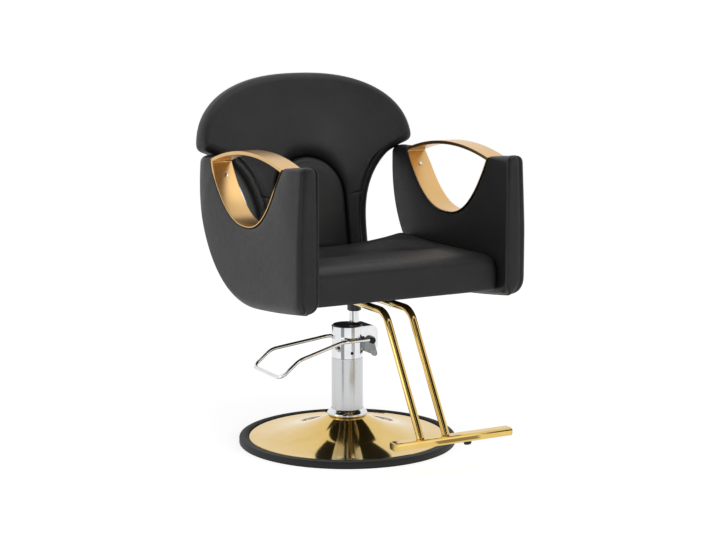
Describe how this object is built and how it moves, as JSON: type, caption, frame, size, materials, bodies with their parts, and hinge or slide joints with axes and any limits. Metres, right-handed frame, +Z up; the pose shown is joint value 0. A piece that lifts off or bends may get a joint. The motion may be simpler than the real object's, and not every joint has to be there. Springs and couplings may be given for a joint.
{
  "type": "hydraulic styling chair",
  "caption": "Padded salon chair with a fixed mushroom back and basket arms, turning on a hydraulic ram that a foot pedal pumps up, over a round trumpet base, with a footrest bar.",
  "frame": {"origin": "on the floor under the middle of the chair's box", "axes": "+Z up, the sitter faces -Y, +X is the sitter's left"},
  "size_m": [0.674, 0.8096, 0.9765],
  "materials": {
    "leatherette": "black leatherette, soft sheen",
    "polished_gold": "polished gold plating",
    "brushed_gold": "brushed gold plating",
    "chrome": "bright chrome",
    "satin_aluminium": "satin",
    "steel": "plain steel",
    "black_enamel": "black enamel",
    "black_rubber": "matte",
    "black_plastic": "satin",
    "plywood": "raw plywood"
  },
  "bodies": {
    "base": {"base_rubber_ring": "black_rubber", "base_plate": "steel", "base_dome": "polished_gold", "base_bolt_1": "steel", "base_bolt_2": "steel", "base_bolt_3": "steel", "base_bolt_4": "steel", "column_collar": "chrome", "column_sleeve": "satin_aluminium", "pump_cylinder": "steel", "pump_head": "chrome", "pump_top_cover": "black_plastic", "head_screw_1": "steel", "head_screw_2": "steel", "ram_wiper_seal": "black_rubber", "pedal_pivot_pin": "chrome", "plunger_spring": "steel"},
    "ram": {"lift_ram": "chrome", "ram_piston": "steel", "piston_seal": "black_rubber"},
    "seat": {"seat_socket": "black_enamel", "mount_plate": "black_enamel", "mount_bolt_1": "steel", "mount_bolt_2": "steel", "mount_bolt_3": "steel", "mount_bolt_4": "steel", "seat_frame": "plywood", "seat_cushion": "leatherette", "arm_pad_left": "leatherette", "arm_pad_right": "leatherette", "arm_core_left": "plywood", "arm_core_right": "plywood", "arm_rail_left": "brushed_gold", "arm_rail_right": "brushed_gold", "arm_bolt_left_1": "steel", "arm_bolt_left_2": "steel", "arm_bolt_right_1": "steel", "arm_bolt_right_2": "steel", "rail_screw_left_rear": "chrome", "rail_screw_left_front": "chrome", "rail_screw_right_rear": "chrome", "rail_screw_right_front": "chrome", "back_panel": "leatherette", "lumbar_pad": "leatherette", "back_board": "plywood", "back_bracket_left": "black_enamel", "back_bracket_right": "black_enamel", "bracket_seat_bolt_left": "steel", "bracket_seat_bolt_right": "steel", "bracket_back_bolt_left": "steel", "bracket_back_bolt_right": "steel", "footrest_saddle": "black_enamel", "footrest_post_left": "polished_gold", "footrest_post_right": "polished_gold", "footrest_bar": "polished_gold", "footrest_cap_left": "polished_gold", "footrest_cap_right": "polished_gold"},
    "pedal": {"pedal_loop": "chrome", "pedal_yoke": "steel"},
    "plunger": {"pump_plunger": "chrome"}
  },
  "joints": [
    {"name": "lift", "type": "slide", "parent": "base", "child": "ram", "axis": [0, 0, 1], "range_m": [0, 0.13]},
    {"name": "swivel", "type": "hinge", "parent": "ram", "child": "seat", "pos_m": [0, 0.02996, 0.4], "axis": [0, 0, 1], "continuous": true},
    {"name": "pedal_press", "type": "hinge", "parent": "base", "child": "pedal", "pos_m": [0.031, 0.02996, 0.279], "axis": [0, -1, 0], "range_deg": [0, 18], "stiffness_Nm_per_rad": 6, "springref_deg": -20.05},
    {"name": "plunger_stroke", "type": "slide", "parent": "base", "child": "plunger", "axis": [0, 0, 1], "range_m": [0, 0.0048], "deforming": ["plunger_spring"]}
  ],
  "couplings": [
    {"joint": "plunger_stroke", "follows": "pedal_press", "m_per_rad": 0.01511}
  ]
}
